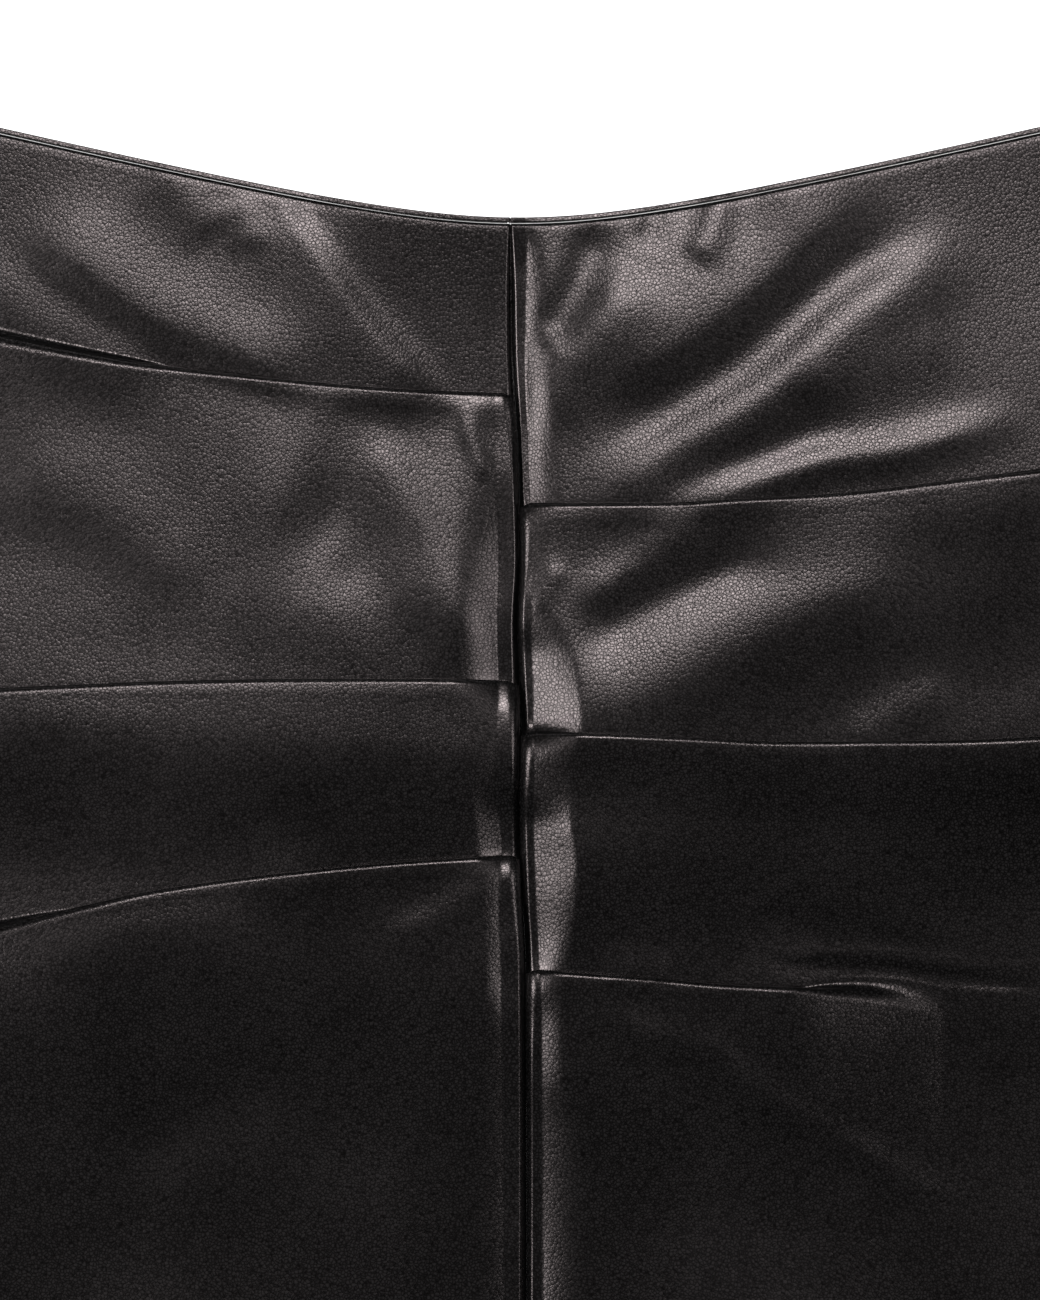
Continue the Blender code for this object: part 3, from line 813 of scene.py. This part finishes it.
def pressed_share(side, out, down):
    """How smooth the front is pressed: on the strip beside the centre seam and below the fold edges there."""
    columns = SeamRow(*np.array(SEAM_CLIMB[side], float).T)
    start = curve(down, columns.down, columns.start)
    strip = 1 - ease((out - start - STRIP_FADE_START) / STRIP_FADE)
    share = table_curve(down, SEAM_PRESSED[side]) * strip
    for panel in range(len(TUCKS[side])):
        below = down - fold_edge(side, panel, out)
        band = ease((below + FOLD_PRESS_START) / FOLD_PRESS_START) * (1 - ease(below / FOLD_PRESS))
        share = np.maximum(share, FOLD_PRESS_SHARE * band * (1 - ease(out / FOLD_PRESS_REACH)))
    return share


def wall(name, outer, inner, upright, material):
    """A closed wall between two grids of points. upright: its faces turn the right way round as they come."""
    rows, columns = outer.shape[:2]
    index = np.arange(rows * columns).reshape(rows, columns)
    below = index + rows * columns

    def grid_quads(i):
        return np.stack([i[:-1, :-1], i[1:, :-1], i[1:, 1:], i[:-1, 1:]], axis=-1).reshape(-1, 4)

    def border(i):
        return np.concatenate([i[0, ::-1], i[1:, 0], i[-1, 1:], i[-2:0:-1, -1]])

    top, under = border(index), border(below)
    rim = np.stack([np.roll(top, -1), top, under, np.roll(under, -1)], axis=-1)
    quads = np.concatenate([grid_quads(index), grid_quads(below)[:, ::-1], rim])
    if not upright:
        quads = quads[:, ::-1]
    mesh = bpy.data.meshes.new(name)
    points = np.concatenate([outer.reshape(-1, 3), inner.reshape(-1, 3)])
    mesh.from_pydata(points.tolist(), [], quads.tolist())
    mesh.materials.append(material)
    mesh.shade_smooth()
    piece = bpy.data.objects.new(name, mesh)
    bpy.context.collection.objects.link(piece)
    return piece


def edge_drop(strip):
    """The rounding of a panel's upper edge, row by row."""
    drop = np.zeros(len(strip.down))
    drop[:EDGE_STEPS] = rounded(edge_insets(), CORNER)
    return drop


def roll_drop():
    """The rolled strip's outer face, row by row: it leans to the waist edge and is rounded at both edges."""
    insets = roll_insets()
    return ROLL_TILT * (WAIST_ROLL - insets) + rounded(np.minimum(insets, WAIST_ROLL - insets), ROLL_CORNER)


def make_piece(name, strip, side, front, row_drop, material):
    """One piece of the skirt from its pressed strip, in place of its solid."""
    seam = front_seam if front else back_seam
    grids = faces(strip, side, seam, row_drop)
    outer, inner = (mesh_points(grid, side, front) for grid in grids)
    upright = (side == "right") == front
    piece = wall(name + "_leather", outer, inner, upright, material)
    if front:
        shares = [pressed_share(side, grid[0], grid[1]).ravel() for grid in grids]
        layer = piece.data.attributes.new(PRESSED_LAYER, "FLOAT", "POINT")
        layer.data.foreach_set("value", np.concatenate(shares).astype(np.float32))
    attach(piece, "root")
    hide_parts(name)
    return piece


def math_node(tree, operation, *inputs):
    """A math node. Each input is a number or another node's socket."""
    node = tree.nodes.new("ShaderNodeMath")
    node.operation = operation
    for socket, value in zip(node.inputs, inputs):
        if isinstance(value, bpy.types.NodeSocket):
            tree.links.new(value, socket)
        else:
            socket.default_value = value
    return node.outputs["Value"]


def noise_node(tree, vector, scale, detail=2):
    """Soft noise about 0.5."""
    node = tree.nodes.new("ShaderNodeTexNoise")
    node.inputs["Scale"].default_value = scale
    node.inputs["Detail"].default_value = detail
    tree.links.new(vector, node.inputs["Vector"])
    return node


def voronoi_node(tree, vector, scale, feature):
    """Cells, for the grain's pebbles."""
    node = tree.nodes.new("ShaderNodeTexVoronoi")
    node.feature = feature
    node.inputs["Scale"].default_value = scale
    tree.links.new(vector, node.inputs["Vector"])
    return node


def bent_vector(tree, vector, scale, amount):
    """The vector moved about by noise, so that cells on it are uneven."""
    noise = noise_node(tree, vector, scale)
    centred = tree.nodes.new("ShaderNodeVectorMath")
    centred.operation = "SUBTRACT"
    centred.inputs[1].default_value = (0.5, 0.5, 0.5)
    tree.links.new(noise.outputs["Color"], centred.inputs[0])
    moved = tree.nodes.new("ShaderNodeVectorMath")
    moved.operation = "MULTIPLY_ADD"
    moved.inputs[1].default_value = (amount, amount, amount)
    tree.links.new(centred.outputs[0], moved.inputs[0])
    tree.links.new(vector, moved.inputs[2])
    return moved.outputs[0]


def valley_shade_mix(tree, share, colours):
    """The valleys' colour, darkened with painted shade, where share is 0, and the pebble tops' where it is 1.
    """
    mix = tree.nodes.new("ShaderNodeMix")
    mix.data_type = "RGBA"
    mix.inputs["A"].default_value = colours["valley"]
    mix.inputs["B"].default_value = colours["top"]
    tree.links.new(share, mix.inputs["Factor"])
    return mix.outputs["Result"]


def leather_material():
    """Black nappa: soft pebbles with fine valleys between them, smoother where it is pressed, and with painted
    shade that darkens the valleys' colour and shine.
    """
    material = bpy.data.materials.new("black_leather")
    material.use_nodes = True
    tree = material.node_tree
    nodes, links = tree.nodes, tree.links
    shader = nodes["Principled BSDF"]
    place = nodes.new("ShaderNodeTexCoord").outputs["Object"]
    pressed = nodes.new("ShaderNodeAttribute")
    pressed.attribute_name = PRESSED_LAYER

    bent = bent_vector(tree, place, GRAIN_BEND_SCALE, GRAIN_BEND / GRAIN)
    cells = voronoi_node(tree, bent, GRAIN, "F1")
    valleys = voronoi_node(tree, bent, GRAIN, "DISTANCE_TO_EDGE")
    dome = math_node(tree, "POWER", cells.outputs["Distance"], 2.0)
    dome = math_node(tree, "MULTIPLY", dome, -1.0)
    valley = math_node(tree, "SMOOTH_MIN", valleys.outputs["Distance"], VALLEY_WIDTH, VALLEY_SOFTNESS)
    fine = noise_node(tree, place, FINE_SCALE, detail=3).outputs["Fac"]
    height = math_node(tree, "MULTIPLY_ADD", valley, VALLEY_DEPTH, dome)
    height = math_node(tree, "MULTIPLY_ADD", fine, FINE_DEPTH, height)

    broad = noise_node(tree, place, BROAD_SCALE, detail=3).outputs["Fac"]
    depth = math_node(tree, "MULTIPLY_ADD", broad, BROAD_SWING, BROAD_LEAST)
    smooth = math_node(tree, "MULTIPLY_ADD", pressed.outputs["Fac"], -PRESSED_FLAT, 1.0)
    depth = math_node(tree, "MULTIPLY", depth, smooth)
    bump = nodes.new("ShaderNodeBump")
    bump.inputs["Distance"].default_value = GRAIN_DEPTH * MM
    links.new(depth, bump.inputs["Strength"])
    links.new(height, bump.inputs["Height"])
    links.new(bump.outputs["Normal"], shader.inputs["Normal"])

    uneven = noise_node(tree, place, UNEVEN_SCALE, detail=4).outputs["Fac"]
    roughness = math_node(tree, "MULTIPLY_ADD", uneven, ROUGHNESS_SWING, ROUGHNESS)
    roughness = math_node(tree, "MULTIPLY_ADD", pressed.outputs["Fac"], -PRESSED_SHINE, roughness)
    links.new(roughness, shader.inputs["Roughness"])
    # Painted shade: the colour and the shine's tint get darker towards the valleys, and the shine's tint less
    # so where the leather is pressed.
    top = math_node(tree, "MULTIPLY", valleys.outputs["Distance"], TOP_RISE)
    top = math_node(tree, "MULTIPLY", top, math_node(tree, "ADD", uneven, UNEVEN_LEAST))
    shiny = math_node(tree, "MULTIPLY_ADD", pressed.outputs["Fac"], TOP_PRESSED, top)
    links.new(valley_shade_mix(tree, top, VALLEY_SHADE_COLOURS), shader.inputs["Base Color"])
    links.new(valley_shade_mix(tree, shiny, VALLEY_SHADE_SHINES), shader.inputs["Specular Tint"])
    return material


def make_camera():
    """Straight above the skirt's waist, at the photograph's scale."""
    height = PHOTO_SIZE[1] / PIXELS_PER_MM * MM
    data = bpy.data.cameras.new("camera")
    data.sensor_width = SENSOR
    data.lens = SENSOR * CAMERA_HEIGHT / height
    data.clip_end = VIEW_END
    camera = bpy.data.objects.new("camera", data)
    x = (PHOTO_SIZE[0] / 2 - SEAM_PIXEL) / PIXELS_PER_MM
    down = (PHOTO_SIZE[1] / 2 - WAIST_PIXEL) / PIXELS_PER_MM
    camera.location = (x * MM, y_of(down) * MM, CAMERA_HEIGHT + LEATHER_LEVEL * MM)
    bpy.context.collection.objects.link(camera)
    bpy.context.scene.camera = camera
    return Vector((camera.location.x, camera.location.y, 0))


def make_light(name, row, target):
    """A soft rectangular light that faces its target."""
    data = bpy.data.lights.new(name, "AREA")
    data.shape = "RECTANGLE"
    data.size, data.size_y = row.size
    data.energy = row.power
    light = bpy.data.objects.new(name, data)
    light.location = target + Vector(row.place)
    light.rotation_euler = (target - light.location).to_track_quat("-Z", "Y").to_euler()
    light.visible_camera = False
    bpy.context.collection.objects.link(light)


def make_floor():
    """A plain white floor that glows a little, so that it is as white as the photograph's."""
    material = bpy.data.materials.new("white_floor")
    material.use_nodes = True
    shader = material.node_tree.nodes["Principled BSDF"]
    shader.inputs["Base Color"].default_value = FLOOR_COLOUR
    shader.inputs["Roughness"].default_value = FLOOR_ROUGHNESS
    shader.inputs["Emission Color"].default_value = WHITE
    shader.inputs["Emission Strength"].default_value = FLOOR_GLOW
    material.cycles.emission_sampling = "NONE"
    mesh = bpy.data.meshes.new("floor")
    corners = [(x * FLOOR_HALF, y * FLOOR_HALF, 0) for x, y in ((-1, -1), (1, -1), (1, 1), (-1, 1))]
    mesh.from_pydata(corners, [], [(0, 1, 2, 3)])
    mesh.materials.append(material)
    floor = bpy.data.objects.new("floor", mesh)
    floor.location.z = -FLOOR_DROP
    bpy.context.collection.objects.link(floor)


def make_world():
    """A dim white studio."""
    world = bpy.data.worlds.new("studio")
    world.use_nodes = True
    background = world.node_tree.nodes["Background"]
    background.inputs["Color"].default_value = WHITE
    background.inputs["Strength"].default_value = WORLD_GLOW
    world.cycles.sampling_method = "NONE"
    bpy.context.scene.world = world


def main():
    """Dresses the skirt's solids, and sets the camera, the lights and the floor."""
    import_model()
    leather = leather_material()
    for side in ("left", "right"):
        front = pressed_front(side)
        back = pressed_back(side)
        roll = pressed_roll(side, front_seam)
        under_roll = pressed_roll(side, back_seam)
        front_piece = make_piece(f"front_{side}", front, side, True, edge_drop(front), leather)
        back_piece = make_piece(f"back_{side}", back, side, False, edge_drop(back), leather)
        front_roll = make_piece(f"waist_roll_front_{side}", roll, side, True, roll_drop(), leather)
        back_roll = make_piece(f"waist_roll_back_{side}", under_roll, side, False, roll_drop(), leather)
    centre = make_camera()
    for name, row in LIGHTS.items():
        make_light(name, row, centre)
    make_floor()
    make_world()
    bpy.context.scene.view_settings.view_transform = "Standard"


main()
